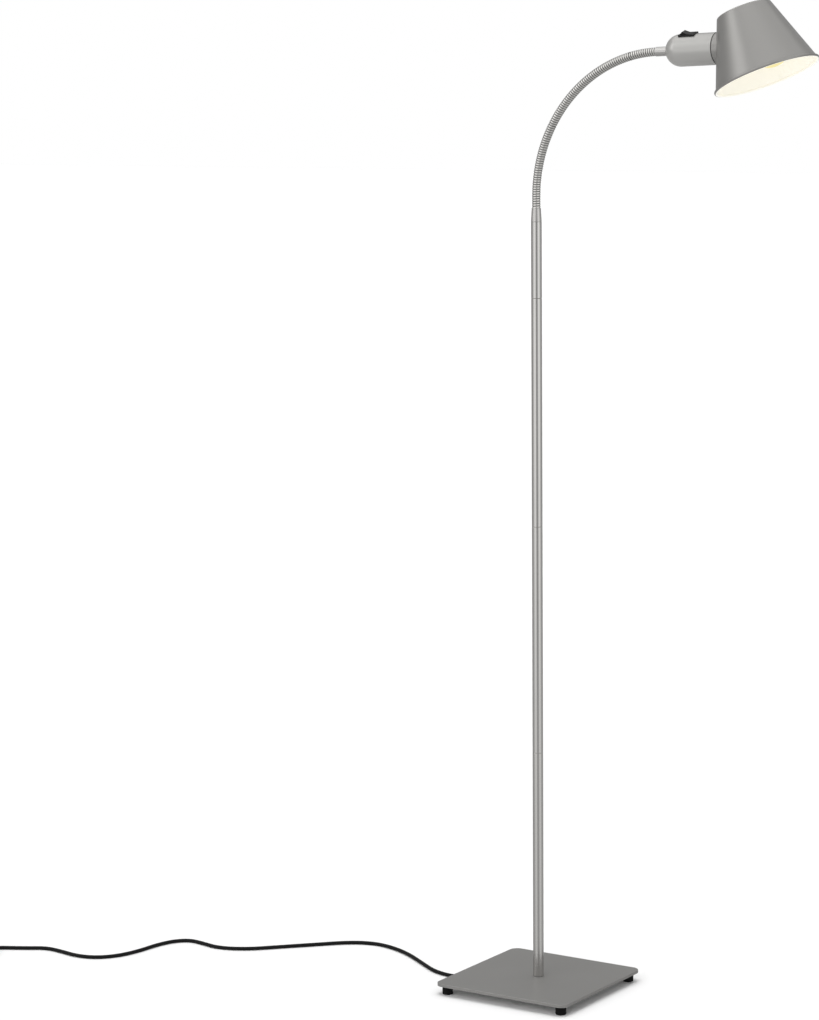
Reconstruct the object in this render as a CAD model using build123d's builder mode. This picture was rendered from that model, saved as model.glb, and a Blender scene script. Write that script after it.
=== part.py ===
"""Gooseneck reading floor lamp, as an assembly of separate pieces.

Frame: millimetres, +Z up, +X the way the arm leans out. The origin is on the pole's
axis, at the height of the floor that the four feet stand on.
"""

import os
from math import asin, atan2, cos, degrees, hypot, pi, radians, sin, sqrt, tan

from build123d import *

os.makedirs("parts", exist_ok=True)

# ------------------------------------------------------------------ driving dimensions
slide_gap = 0.1  # radial clearance of a piece that drops into a hole
turn_gap = 0.05  # radial clearance of a turning fit

# base
plate_side = 200.0
plate_thickness = 4.0
plate_corner_radius = 12.0
plate_edge_round = 0.8
foot_diameter = 14.0
foot_height = 12.0
foot_inset = 13.0
foot_edge_round = 1.5
foot_web = 3.0
foot_screw_diameter = 4.0
foot_screw_head_diameter = 7.0
foot_screw_head_height = 2.6
foot_screw_bite = 2.6
foot_screw_slot = 1.0

# pole
pole_diameter = 14.0
pole_wall = 1.0
tube_length = 300.0
neck_tube_length = 100.0
tube_end_chamfer = 0.5
thread_diameter = 10.0
nipple_bore = 7.4
nipple_length = 26.0
insert_length = 14.0
insert_recess = 0.3
base_washer_diameter = 20.0
base_washer_thickness = 0.8
base_nut_flats = 14.0
base_nut_height = 2.7
bush_flange_diameter = 11.0
bush_flange_height = 0.8
bush_length = 9.0
reducer_length = 17.5
reducer_spigot_length = 12.0

# gooseneck
neck_diameter = 11.0
neck_groove_depth = 0.7
neck_bore = 6.8
neck_length = 300.0
neck_straight = 15.0
neck_turn = 88.0
neck_joints = 12
ribs_per_link = 8
joint_travel = 15.0
ball_radius = 4.4
ball_overlap = 2.2
ball_root_angle = 60.0
joint_end_gap = 0.1
joint_slack = 0.1  # degrees beyond half the travel
bore_overrun = 1.0
spigot_diameter = 9.0
spigot_length = 9.0
ferrule_diameter = 12.0
stud_length = 8.0
lock_nut_flats = 14.0
lock_nut_height = 3.0

# head: distances along the housing's axis are counted from the end of the gooseneck
housing_diameter = 41.0
housing_wall = 1.2
housing_start = 15.6
housing_length = 72.0
housing_pad_diameter = 18.0
housing_pad_height = 2.7
switch_from_tip = 34.0
switch_roll = 18.0
bezel_length = 23.0
bezel_width = 14.0
bezel_height = 1.1
bezel_corner_radius = 1.0
switch_body_length = 20.6
switch_body_width = 11.8
switch_body_depth = 12.5
switch_window_length = 19.6
switch_window_width = 10.0
switch_window_depth = 8.6
rocker_radius = 9.6
rocker_side_gap = 0.2
rocker_pivot_depth = 4.0
rocker_centre_rise = 0.6
rocker_end_rise = 1.9
rocker_tilt = 12.0
rocker_side_drop = 0.84
rocker_foot_drop = 3.0
rocker_foot_width = 5.0
trunnion_diameter = 2.4
trunnion_length = 0.6
terminal_width = 4.8
terminal_thickness = 0.8
terminal_length = 7.2
terminal_spacing = 10.0
wire_diameter = 1.2
wire_offset = 1.5
lead_end = 34.0

# lampholder and bulb
holder_diameter = 35.0
holder_thread_diameter = 31.0
holder_start = 62.0
holder_mouth = 110.0
front_cap_depth = 4.0
front_groove_width = 1.5
front_groove_diameter = 37.4
screw_shell_diameter = 28.2
screw_shell_wall = 0.6
screw_shell_from_bulb = 3.0
screw_shell_inset = 1.0
contact_thickness = 0.6
contact_diameter = 9.0
contact_crown_diameter = 4.5
bulb_cap_diameter = 26.2
bulb_cap_length = 24.0
bulb_cap_chamfer = 1.0
bulb_tip = 185.9
bulb_diameter = 55.0
bulb_neck_diameter = 26.0
bulb_flank_radius = 40.0
bulb_glass_wall = 0.8
bulb_length = 98.0
bulb_contact_diameter = 9.5
bulb_contact_tip_diameter = 6.4
bulb_contact_base_diameter = 22.2
bulb_contact_height = 4.0
bulb_contact_rim = 1.0
ring_diameter = 37.2
ring_width = 5.0
ring_notches = 8
ring_notch_width = 3.0

# shade
shade_top_diameter = 70.0
shade_height = 88.0
shade_half_angle = 20.0
shade_wall = 1.0
shade_corner_radius = 3.0
shade_bead_radius = 1.9
shade_wall_offset = 92.3
shade_top_rise = 46.1
boss_diameter = 41.0
boss_floor = 1.6
boss_pocket_diameter = 38.2
boss_reach = 12.0
boss_pocket_reach = 17.5

# cord
cord_diameter = 5.0
cord_gap = 0.1
cord_join_inset = 1.5
corner_share = 0.45  # of a run that the arc at its end may take
floor_gap = 0.1
plug_width = 26.0
plug_thickness = 13.7
plug_body_length = 33.0
plug_grip_start = 9.2
plug_grip_end = 20.5
plug_flare_end = 28.0
plug_nose_width = 21.0
plug_edge_round = 2.0
plug_relief_length = 24.0
plug_relief_end_diameter = 7.0
plug_pin_diameter = 4.0
plug_pin_length = 19.0
plug_pin_spacing = 18.0
plug_pin_sleeve_length = 10.0
plug_pin_root = 6.0
plug_pin_neck_diameter = 3.2
plug_pin_chamfer = 1.0
plug_back_width = 12.0
plug_relief_growth = 0.35
plug_relief_rings = 5
plug_ring_share = 0.6
plug_relief_groove = 0.7
coil_half_turns = 4
coil_inner_radius = 20.0
coil_pitch = 6.4
coil_layer_height = 6.0
tail_runs = ((15, 0, 0.0), (18, -10, 1.7), (16, -8, 0.0))  # length, turn in degrees, drop

# ---------------------------------------------------------------------- derived places
plate_top = foot_height + plate_thickness
pole_radius = pole_diameter / 2
pole_bore_radius = pole_radius - pole_wall
thread_radius = thread_diameter / 2
seams = [plate_top + tube_length * count for count in (1, 2, 3)]
neck_tube_top = seams[-1] + neck_tube_length
neck_start = neck_tube_top + reducer_length
neck_arc_radius = (neck_length - neck_straight) / radians(neck_turn)
neck_radius = neck_diameter / 2
rib_pitch = neck_length / neck_joints / ribs_per_link
link_length = neck_length / neck_joints


def neck_plane(distance):
    """The plane square to the gooseneck's centre line, so far along from its lower end."""
    turn = max(0.0, distance - neck_straight) / neck_arc_radius
    if distance > neck_length:
        turn = radians(neck_turn)
    beyond = max(0.0, distance - neck_length)
    rise = min(distance, neck_straight) + neck_arc_radius * sin(turn) + beyond * cos(turn)
    reach = neck_arc_radius * (1 - cos(turn)) + beyond * sin(turn)
    point = (reach, 0, neck_start + rise)
    return Plane(origin=point, x_dir=(0, 1, 0), z_dir=(sin(turn), 0, cos(turn)))


neck_end = neck_plane(neck_length)
head_direction = neck_end.z_dir
head_up = Vector(-head_direction.Z, 0, head_direction.X)
head_axis = Axis(neck_end.origin, head_direction)
# sketches of turned head pieces: x along the housing's axis, y outward from it
head_profile = Plane(origin=neck_end.origin, x_dir=head_direction, z_dir=(0, -1, 0))


def head_plane(distance):
    """The plane square to the housing's axis, so far along from the gooseneck's end."""
    return Plane(
        origin=neck_end.origin + head_direction * distance, x_dir=head_up, z_dir=head_direction
    )


housing_radius = housing_diameter / 2
housing_end = housing_start + housing_length
housing_dome_centre = housing_start + housing_radius
# the dome's tip is faced off flat, as wide as the ferrule that seats on it
ferrule_length = housing_dome_centre - sqrt(housing_radius**2 - (ferrule_diameter / 2) ** 2)
groove_end = housing_end + front_groove_width

shade_down = head_direction * sin(radians(shade_half_angle)) - head_up * cos(radians(shade_half_angle))
shade_back = -head_direction * cos(radians(shade_half_angle)) - head_up * sin(radians(shade_half_angle))
shade_top_radius = shade_top_diameter / 2
shade_rim_radius = shade_top_radius + shade_height * tan(radians(shade_half_angle))
# the top centre lies where the cone's rear line stands square to the housing's axis
shade_top_reach = shade_wall_offset + shade_top_radius * cos(radians(shade_half_angle))
shade_top = neck_end.origin + head_direction * shade_top_reach + head_up * shade_top_rise
shade_axis = Axis(shade_top, shade_down)
# sketches of the turned shade: x outward to its rear line, y down its own axis
shade_profile = Plane(
    origin=shade_top, x_dir=shade_back, z_dir=Vector(shade_back).cross(shade_down)
)


# ------------------------------------------------------------------------- base pieces
foot_places = [
    (side_x * (plate_side / 2 - foot_inset), side_y * (plate_side / 2 - foot_inset))
    for side_x in (-1, 1)
    for side_y in (-1, 1)
]

with BuildPart() as base_plate:
    with BuildSketch(Plane.XY.offset(foot_height)):
        RectangleRounded(plate_side, plate_side, plate_corner_radius)
    extrude(amount=plate_thickness)
    fillet(base_plate.faces().sort_by(Axis.Z)[-1].outer_wire().edges(), plate_edge_round)
    with Locations((0, 0, plate_top)):
        Hole(thread_radius + slide_gap)
    with BuildSketch(Plane.XY.offset(foot_height)):
        with Locations(*foot_places):
            Circle(foot_screw_diameter / 2 + slide_gap)
    extrude(amount=foot_screw_bite + slide_gap, mode=Mode.SUBTRACT)
base_plate.part.label = "base_plate"
export_step(base_plate.part, "parts/base_plate.step")

for number, place in enumerate(foot_places, start=1):
    with BuildPart(Plane((place[0], place[1], 0))) as foot:
        Cylinder(foot_diameter / 2, foot_height, align=(Align.CENTER, Align.CENTER, Align.MIN))
        fillet(foot.faces().sort_by(Axis.Z)[0].edges(), foot_edge_round)
        with Locations((0, 0, 0)):
            Cylinder(
                foot_screw_head_diameter / 2 + slide_gap,
                foot_height - foot_web,
                align=(Align.CENTER, Align.CENTER, Align.MIN),
                mode=Mode.SUBTRACT,
            )
            Cylinder(
                foot_screw_diameter / 2 + slide_gap,
                foot_height,
                align=(Align.CENTER, Align.CENTER, Align.MIN),
                mode=Mode.SUBTRACT,
            )
    foot.part.label = f"foot_{number}"
    export_step(foot.part, f"parts/foot_{number}.step")

with BuildPart() as foot_screws:
    with BuildSketch(Plane.XY.offset(foot_height - foot_web)):
        with Locations(*foot_places):
            Circle(foot_screw_head_diameter / 2)
    extrude(amount=-foot_screw_head_height)
    with BuildSketch(Plane.XY.offset(foot_height - foot_web)):
        with Locations(*foot_places):
            Circle(foot_screw_diameter / 2)
    extrude(amount=foot_web + foot_screw_bite)
    with BuildSketch(Plane.XY.offset(foot_height - foot_web - foot_screw_head_height)):
        with Locations(*foot_places):
            Rectangle(foot_screw_head_diameter, foot_screw_slot)
    extrude(amount=foot_screw_slot, mode=Mode.SUBTRACT)
foot_screws.part.label = "foot_screws"
export_step(foot_screws.part, "parts/foot_screws.step")


# --------------------------------------------------------------------- pole and thread
def tube_solid(start, length, outer, inner, chamfered):
    """A tube on the pole's axis, with a small chamfer on its outer ends where asked."""
    with BuildPart() as tube:
        with BuildSketch(Plane.XY.offset(start)):
            Circle(outer)
            Circle(inner, mode=Mode.SUBTRACT)
        extrude(amount=length)
        if chamfered:
            outer_edges = tube.edges().filter_by(GeomType.CIRCLE)
            outer_edges = outer_edges.filter_by(lambda edge: edge.radius > (outer + inner) / 2)
            chamfer(outer_edges, tube_end_chamfer)
    return tube.part


tube_starts = [plate_top] + seams
for name, start, length in zip(
    ("lower_tube", "middle_tube", "upper_tube", "neck_tube"),
    tube_starts,
    (tube_length, tube_length, tube_length, neck_tube_length),
):
    with BuildPart() as pole_tube:
        add(tube_solid(start, length, pole_radius, pole_bore_radius, True))
    pole_tube.part.label = name
    export_step(pole_tube.part, f"parts/{name}.step")

insert_starts = [plate_top + insert_recess]
for seam in seams:
    insert_starts += [seam - insert_recess - insert_length, seam + insert_recess]
with BuildPart() as tube_inserts:
    for start in insert_starts:
        add(tube_solid(start, insert_length, pole_bore_radius, thread_radius, False))
tube_inserts.part.label = "tube_inserts"
export_step(tube_inserts.part, "parts/tube_inserts.step")

with BuildPart() as seam_nipples:
    for seam in seams:
        add(tube_solid(seam - nipple_length / 2, nipple_length, thread_radius, nipple_bore / 2, False))
seam_nipples.part.label = "seam_nipples"
export_step(seam_nipples.part, "parts/seam_nipples.step")

washer_bottom = foot_height - base_washer_thickness
nipple_bottom = washer_bottom - base_nut_height

with BuildPart() as base_nipple:
    add(tube_solid(nipple_bottom, nipple_length, thread_radius, nipple_bore / 2, False))
base_nipple.part.label = "base_nipple"
export_step(base_nipple.part, "parts/base_nipple.step")

with BuildPart() as base_washer:
    add(
        tube_solid(
            washer_bottom,
            base_washer_thickness,
            base_washer_diameter / 2,
            thread_radius + slide_gap,
            False,
        )
    )
base_washer.part.label = "base_washer"
export_step(base_washer.part, "parts/base_washer.step")

with BuildPart() as base_nut:
    with BuildSketch(Plane.XY.offset(nipple_bottom)):
        RegularPolygon(base_nut_flats / 2, 6, major_radius=False)
        Circle(thread_radius, mode=Mode.SUBTRACT)
    extrude(amount=base_nut_height)
base_nut.part.label = "base_nut"
export_step(base_nut.part, "parts/base_nut.step")

with BuildPart() as cord_bush:
    with BuildSketch(Plane.XY.offset(nipple_bottom - bush_flange_height)):
        Circle(bush_flange_diameter / 2)
    extrude(amount=bush_flange_height)
    with BuildSketch(Plane.XY.offset(nipple_bottom)):
        Circle(nipple_bore / 2)
    extrude(amount=bush_length)
    with Locations((0, 0, nipple_bottom)):
        Hole(cord_diameter / 2 + cord_gap)
cord_bush.part.label = "cord_bush"
export_step(cord_bush.part, "parts/cord_bush.step")

with BuildPart() as neck_reducer:
    with BuildSketch(Plane.XZ):
        with BuildLine():
            Polyline(
                (neck_bore / 2, neck_tube_top - reducer_spigot_length),
                (pole_bore_radius, neck_tube_top - reducer_spigot_length),
                (pole_bore_radius, neck_tube_top),
                (pole_radius, neck_tube_top),
                (ferrule_diameter / 2, neck_start),
                (spigot_diameter / 2, neck_start),
                (spigot_diameter / 2, neck_start - spigot_length),
                (neck_bore / 2, neck_start - spigot_length),
                close=True,
            )
        make_face()
    revolve(axis=Axis.Z)
neck_reducer.part.label = "neck_reducer"
export_step(neck_reducer.part, "parts/neck_reducer.step")


# --------------------------------------------------------------------------- gooseneck
def neck_line(start, end):
    """The gooseneck's centre line from one distance to another, as a straight run and an arc."""
    pieces = []
    if start < neck_straight:
        pieces.append(Line(neck_plane(start).origin, neck_plane(min(end, neck_straight)).origin))
    if end > neck_straight and start < neck_length:
        low, high = max(start, neck_straight), min(end, neck_length)
        middle = neck_plane((low + high) / 2).origin
        pieces.append(ThreePointArc(neck_plane(low).origin, middle, neck_plane(high).origin))
    if end > neck_length:
        pieces.append(Line(neck_plane(max(start, neck_length)).origin, neck_plane(end).origin))
    return pieces


groove_radius = neck_radius - neck_groove_depth
# a joint's faces lean back by half its travel, so that the ribs close up at its limits
joint_slope = tan(radians(joint_travel / 2 + joint_slack))
joint_crest = joint_end_gap + neck_radius * joint_slope
joint_root = joint_end_gap + groove_radius * joint_slope
ball_cap_angle = degrees(asin(ball_overlap / ball_radius))
joint_distances = [link_length * (number + 0.5) for number in range(neck_joints)]
link_bounds = [0.0] + joint_distances + [neck_length]
neck_link_names = [f"neck_link_{number:02d}" for number in range(neck_joints + 1)]

for name, start, end in zip(neck_link_names, link_bounds[:-1], link_bounds[1:]):
    starts_in_joint = start > 0
    ends_in_joint = end < neck_length
    first = start + (joint_root if starts_in_joint else 0.0)
    last = end - (joint_root if ends_in_joint else 0.0)
    stations = [(first, groove_radius)]
    rib_count = round((end - start) / rib_pitch)
    for rib in range(rib_count):
        left = start + rib * rib_pitch + joint_crest
        right = start + (rib + 1) * rib_pitch - joint_crest
        stations += [(left, neck_radius), (right, neck_radius)]
        if rib < rib_count - 1:
            stations.append((start + (rib + 1) * rib_pitch, groove_radius))
    stations.append((last, groove_radius))
    with BuildPart() as neck_link:
        for distance, radius in stations:
            with BuildSketch(neck_plane(distance)):
                Circle(radius)
        loft(ruled=True)
        if not starts_in_joint:
            with BuildSketch(neck_plane(0)):
                Circle(spigot_diameter / 2)
            extrude(amount=-spigot_length)
        if not ends_in_joint:
            with BuildSketch(neck_plane(neck_length)):
                Circle(spigot_diameter / 2)
            extrude(amount=spigot_length)
        if ends_in_joint:
            with Locations(neck_plane(end)):
                Sphere(ball_radius, arc_size1=-ball_root_angle, arc_size2=ball_cap_angle, align=None)
        if starts_in_joint:
            with Locations(neck_plane(start)):
                Sphere(ball_radius + turn_gap, mode=Mode.SUBTRACT)
        bore_start = start - bore_overrun - (spigot_length if not starts_in_joint else ball_radius)
        bore_end = end + bore_overrun + (spigot_length if not ends_in_joint else ball_radius)
        bore_from = neck_plane(bore_start).origin
        bore_to = neck_plane(bore_end).origin
        with BuildSketch(Plane(origin=bore_from, x_dir=(0, 1, 0), z_dir=bore_to - bore_from)):
            Circle(neck_bore / 2)
        extrude(amount=(bore_to - bore_from).length, mode=Mode.SUBTRACT)
    neck_link.part.label = name
    export_step(neck_link.part, f"parts/{name}.step")

with BuildPart() as neck_ferrule:
    with BuildSketch(head_profile):
        with BuildLine():
            Polyline(
                (0, spigot_diameter / 2),
                (0, ferrule_diameter / 2),
                (ferrule_length, ferrule_diameter / 2),
                (ferrule_length, thread_radius),
                (ferrule_length + stud_length, thread_radius),
                (ferrule_length + stud_length, neck_bore / 2),
                (spigot_length, neck_bore / 2),
                (spigot_length, spigot_diameter / 2),
                close=True,
            )
        make_face()
    revolve(axis=head_axis)
neck_ferrule.part.label = "neck_ferrule"
export_step(neck_ferrule.part, "parts/neck_ferrule.step")

pad_face = ferrule_length + housing_pad_height

with BuildPart() as neck_lock_nut:
    with BuildSketch(head_plane(pad_face)):
        RegularPolygon(lock_nut_flats / 2, 6, major_radius=False)
        Circle(thread_radius, mode=Mode.SUBTRACT)
    extrude(amount=lock_nut_height)
neck_lock_nut.part.label = "neck_lock_nut"
export_step(neck_lock_nut.part, "parts/neck_lock_nut.step")


# ------------------------------------------------------------------ housing and switch
switch_normal = head_up * cos(radians(switch_roll)) + Vector(0, -1, 0) * sin(radians(switch_roll))
switch_reach = housing_start + switch_from_tip
switch_origin = neck_end.origin + head_direction * switch_reach
# x along the housing, z out of the switch; its origin is on the housing's axis
switch_plane = Plane(origin=switch_origin, x_dir=head_direction, z_dir=switch_normal)
bezel_top = housing_radius + bezel_height
rocker_axis_height = bezel_top - rocker_pivot_depth

with BuildPart() as lamp_housing:
    with BuildSketch(head_profile):
        with BuildLine():
            flat_radius = ferrule_diameter / 2
            inner_radius = housing_radius - housing_wall
            pad_radius = housing_pad_diameter / 2
            arc_start = (ferrule_length, flat_radius)
            diagonal = housing_radius * sqrt(0.5)
            inner_diagonal = inner_radius * sqrt(0.5)
            inner_start = (housing_dome_centre - sqrt(inner_radius**2 - pad_radius**2), pad_radius)
            Line((arc_start[0], thread_radius + slide_gap), arc_start)
            ThreePointArc(
                arc_start,
                (housing_dome_centre - diagonal, diagonal),
                (housing_dome_centre, housing_radius),
            )
            Polyline(
                (housing_dome_centre, housing_radius),
                (housing_end, housing_radius),
                (housing_end, inner_radius),
                (housing_dome_centre, inner_radius),
            )
            ThreePointArc(
                (housing_dome_centre, inner_radius),
                (housing_dome_centre - inner_diagonal, inner_diagonal),
                inner_start,
            )
            Polyline(
                inner_start,
                (pad_face, pad_radius),
                (pad_face, thread_radius + slide_gap),
                (arc_start[0], thread_radius + slide_gap),
            )
        make_face()
    revolve(axis=head_axis)
    with BuildSketch(switch_plane):
        Rectangle(switch_body_length + 2 * slide_gap, switch_body_width + 2 * slide_gap)
    extrude(amount=bezel_top, mode=Mode.SUBTRACT)
lamp_housing.part.label = "lamp_housing"
export_step(lamp_housing.part, "parts/lamp_housing.step")

switch_body_bottom = bezel_top - bezel_height - switch_body_depth
with BuildPart() as switch_body:
    with BuildSketch(switch_plane.offset(housing_radius - 2 * bezel_height)):
        RectangleRounded(bezel_length, bezel_width, bezel_corner_radius)
    extrude(amount=bezel_top - housing_radius + 2 * bezel_height)
    with BuildSketch(head_plane(housing_start)):
        Circle(housing_radius)
    extrude(amount=housing_length, mode=Mode.SUBTRACT)
    with BuildSketch(switch_plane.offset(switch_body_bottom)):
        Rectangle(switch_body_length, switch_body_width)
    extrude(amount=switch_body_depth + bezel_height)
    with BuildSketch(switch_plane.offset(bezel_top - switch_window_depth)):
        Rectangle(switch_window_length, switch_window_width)
    extrude(amount=bezel_top, mode=Mode.SUBTRACT)
    with Locations(switch_plane.offset(rocker_axis_height)):
        Cylinder(
            trunnion_diameter / 2 + turn_gap,
            switch_window_width + 2 * (trunnion_length + slide_gap),
            rotation=(90, 0, 0),
            mode=Mode.SUBTRACT,
        )
switch_body.part.label = "switch_body"
export_step(switch_body.part, "parts/switch_body.step")

with BuildPart() as switch_terminals:
    with BuildSketch(switch_plane.offset(switch_body_bottom - terminal_length)):
        with GridLocations(terminal_spacing, 1, 2, 1):
            Rectangle(terminal_thickness, terminal_width)
    extrude(amount=terminal_length)
switch_terminals.part.label = "switch_terminals"
export_step(switch_terminals.part, "parts/switch_terminals.step")

# the rocker is drawn level in its own plane, which is tipped so that its end at the neck is up
rocker_plane = Plane(
    origin=switch_origin + switch_normal * rocker_axis_height,
    x_dir=head_direction * cos(radians(rocker_tilt)) - switch_normal * sin(radians(rocker_tilt)),
    z_dir=head_direction.cross(switch_normal),
)
rocker_width = switch_window_width - 2 * rocker_side_gap
rocker_end_height = rocker_pivot_depth + rocker_end_rise
rocker_end_reach = sqrt(rocker_radius**2 - rocker_end_height**2)
rocker_side_reach = sqrt(rocker_radius**2 - rocker_side_drop**2)
with BuildPart() as switch_rocker:
    with BuildSketch(rocker_plane):
        with BuildLine():
            Polyline(
                (-rocker_end_reach, rocker_end_height),
                (0, rocker_pivot_depth + rocker_centre_rise),
                (rocker_end_reach, rocker_end_height),
            )
            ThreePointArc(
                (rocker_end_reach, rocker_end_height),
                (rocker_radius, 0),
                (rocker_side_reach, -rocker_side_drop),
            )
            Polyline(
                (rocker_side_reach, -rocker_side_drop),
                (rocker_foot_width / 2, -rocker_foot_drop),
                (-rocker_foot_width / 2, -rocker_foot_drop),
                (-rocker_side_reach, -rocker_side_drop),
            )
            ThreePointArc(
                (-rocker_side_reach, -rocker_side_drop),
                (-rocker_radius, 0),
                (-rocker_end_reach, rocker_end_height),
            )
        make_face()
    extrude(amount=rocker_width / 2, both=True)
    with BuildSketch(rocker_plane):
        Circle(trunnion_diameter / 2)
    extrude(amount=switch_window_width / 2 + trunnion_length, both=True)
switch_rocker.part.label = "switch_rocker"
export_step(switch_rocker.part, "parts/switch_rocker.step")


# ---------------------------------------------------------------- lampholder and bulb
def turned(points):
    """A solid turned about the housing's axis from corners given as (distance, radius)."""
    with BuildPart() as piece:
        with BuildSketch(head_profile):
            with BuildLine():
                Polyline(*points, close=True)
            make_face()
        revolve(axis=head_axis)
    return piece.part


cap_start = housing_end - front_cap_depth
bulb_bottom = bulb_tip - bulb_length
shell_radius = screw_shell_diameter / 2
holder_floor = bulb_bottom - 2 * contact_thickness
holder_thread_radius = holder_thread_diameter / 2

with BuildPart() as front_cap:
    add(
        turned(
            [
                (cap_start, holder_thread_radius + turn_gap),
                (cap_start, housing_radius - housing_wall),
                (housing_end, housing_radius - housing_wall),
                (housing_end, front_groove_diameter / 2),
                (groove_end, front_groove_diameter / 2),
                (groove_end, holder_thread_radius + turn_gap),
            ]
        )
    )
front_cap.part.label = "front_cap"
export_step(front_cap.part, "parts/front_cap.step")

with BuildPart() as lampholder:
    add(
        turned(
            [
                (holder_start, 0),
                (holder_start, holder_diameter / 2),
                (cap_start, holder_diameter / 2),
                (cap_start, holder_thread_radius),
                (holder_mouth, holder_thread_radius),
                (holder_mouth, shell_radius),
                (holder_floor, shell_radius),
                (holder_floor, 0),
            ]
        )
    )
lampholder.part.label = "lampholder"
export_step(lampholder.part, "parts/lampholder.step")

with BuildPart() as screw_shell:
    add(
        turned(
            [
                (bulb_bottom + screw_shell_from_bulb, shell_radius - screw_shell_wall),
                (bulb_bottom + screw_shell_from_bulb, shell_radius),
                (holder_mouth - screw_shell_inset, shell_radius),
                (holder_mouth - screw_shell_inset, shell_radius - screw_shell_wall),
            ]
        )
    )
screw_shell.part.label = "screw_shell"
export_step(screw_shell.part, "parts/screw_shell.step")

with BuildPart() as centre_contact:
    add(
        turned(
            [
                (holder_floor, 0),
                (holder_floor, contact_diameter / 2),
                (holder_floor + contact_thickness, contact_diameter / 2),
                (holder_floor + contact_thickness, contact_crown_diameter / 2),
                (bulb_bottom, contact_crown_diameter / 2),
                (bulb_bottom, 0),
            ]
        )
    )
centre_contact.part.label = "centre_contact"
export_step(centre_contact.part, "parts/centre_contact.step")

cap_radius = bulb_cap_diameter / 2
cap_skirt_start = bulb_bottom + bulb_contact_height
cap_end = cap_skirt_start + bulb_cap_length
with BuildPart() as bulb_cap:
    add(
        turned(
            [
                (cap_skirt_start, 0),
                (cap_skirt_start, cap_radius - bulb_cap_chamfer),
                (cap_skirt_start + bulb_cap_chamfer, cap_radius),
                (cap_end, cap_radius),
                (cap_end, 0),
            ]
        )
    )
bulb_cap.part.label = "bulb_cap"
export_step(bulb_cap.part, "parts/bulb_cap.step")

with BuildPart() as bulb_contact:
    add(
        turned(
            [
                (bulb_bottom, 0),
                (bulb_bottom, bulb_contact_tip_diameter / 2),
                (bulb_bottom + bulb_contact_rim, bulb_contact_diameter / 2),
                (cap_skirt_start, bulb_contact_base_diameter / 2),
                (cap_skirt_start, 0),
            ]
        )
    )
bulb_contact.part.label = "bulb_contact"
export_step(bulb_contact.part, "parts/bulb_contact.step")


def bulb_outline(inset):
    """Draws the bulb's outline so far inside its glass: neck, hollow flank and round end."""
    ball = bulb_diameter / 2 - inset
    neck = bulb_neck_diameter / 2 - inset
    flank = bulb_flank_radius + inset
    ball_centre = bulb_tip - bulb_diameter / 2
    flank_back = sqrt((ball + flank) ** 2 - (neck + flank) ** 2)
    flank_centre = ball_centre - flank_back
    meet = (ball_centre - flank_back * ball / (ball + flank), (neck + flank) * ball / (ball + flank))
    half_turn = atan2(flank_back, neck + flank) / 2
    Line((cap_end, 0), (cap_end, neck))
    Line((cap_end, neck), (flank_centre, neck))
    ThreePointArc(
        (flank_centre, neck),
        (flank_centre + flank * sin(half_turn), neck + flank - flank * cos(half_turn)),
        meet,
    )
    ThreePointArc(meet, (ball_centre, ball), (ball_centre + ball, 0))
    Line((ball_centre + ball, 0), (cap_end, 0))


with BuildPart() as bulb_glass:
    with BuildSketch(head_profile):
        with BuildLine():
            bulb_outline(0)
        make_face()
    revolve(axis=head_axis)
    with BuildSketch(head_profile):
        with BuildLine():
            bulb_outline(bulb_glass_wall)
        make_face()
    revolve(axis=head_axis, mode=Mode.SUBTRACT)
bulb_glass.part.label = "bulb_glass"
export_step(bulb_glass.part, "parts/bulb_glass.step")

boss_floor_end = groove_end + boss_floor
with BuildPart() as shade_ring:
    with BuildSketch(head_plane(boss_floor_end)):
        Circle(ring_diameter / 2)
        Circle(holder_thread_radius, mode=Mode.SUBTRACT)
        with PolarLocations(ring_diameter / 2, ring_notches):
            Circle(ring_notch_width / 2, mode=Mode.SUBTRACT)
    extrude(amount=ring_width)
shade_ring.part.label = "shade_ring"
export_step(shade_ring.part, "parts/shade_ring.step")

# ------------------------------------------------------------------------------- shade
wall_across = shade_wall / cos(radians(shade_half_angle))
with BuildPart() as shade:
    with BuildSketch(shade_profile) as shade_outline:
        with BuildLine():
            Polyline(
                (0, 0), (shade_top_radius, 0), (shade_rim_radius, shade_height), (0, shade_height), close=True
            )
        make_face()
        top_corner = shade_outline.vertices().sort_by_distance((shade_top_radius, 0, 0))[0]
        fillet(top_corner, shade_corner_radius)
        with Locations((shade_rim_radius, shade_height)):
            RegularPolygon(shade_bead_radius, 8)
    revolve(axis=shade_axis)
    with BuildSketch(head_plane(groove_end)):
        Circle(boss_diameter / 2)
    extrude(amount=shade_wall_offset - groove_end + boss_reach)
    with BuildSketch(shade_profile):
        with BuildLine():
            inner_top = shade_top_radius + shade_wall * tan(radians(shade_half_angle)) - wall_across
            Polyline(
                (0, shade_wall),
                (inner_top, shade_wall),
                (shade_rim_radius - wall_across, shade_height),
                (0, shade_height),
                close=True,
            )
        make_face()
        with Locations((shade_rim_radius, shade_height)):
            RegularPolygon(shade_bead_radius, 8, mode=Mode.SUBTRACT)
    revolve(axis=shade_axis, mode=Mode.SUBTRACT)
    with BuildSketch(head_plane(boss_floor_end)):
        Circle(boss_pocket_diameter / 2)
    extrude(amount=boss_pocket_reach, mode=Mode.SUBTRACT)
    with BuildSketch(head_plane(groove_end)):
        Circle(holder_thread_radius + turn_gap)
    extrude(amount=boss_floor, mode=Mode.SUBTRACT)
shade.part.label = "shade"
export_step(shade.part, "parts/shade.step")


# ------------------------------------------------------------------- lead inside the lamp
def cord_tube(plane):
    """The cord's round section on a plane."""
    with BuildSketch(plane) as section:
        Circle(cord_diameter / 2)
    return section.sketch


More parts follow.
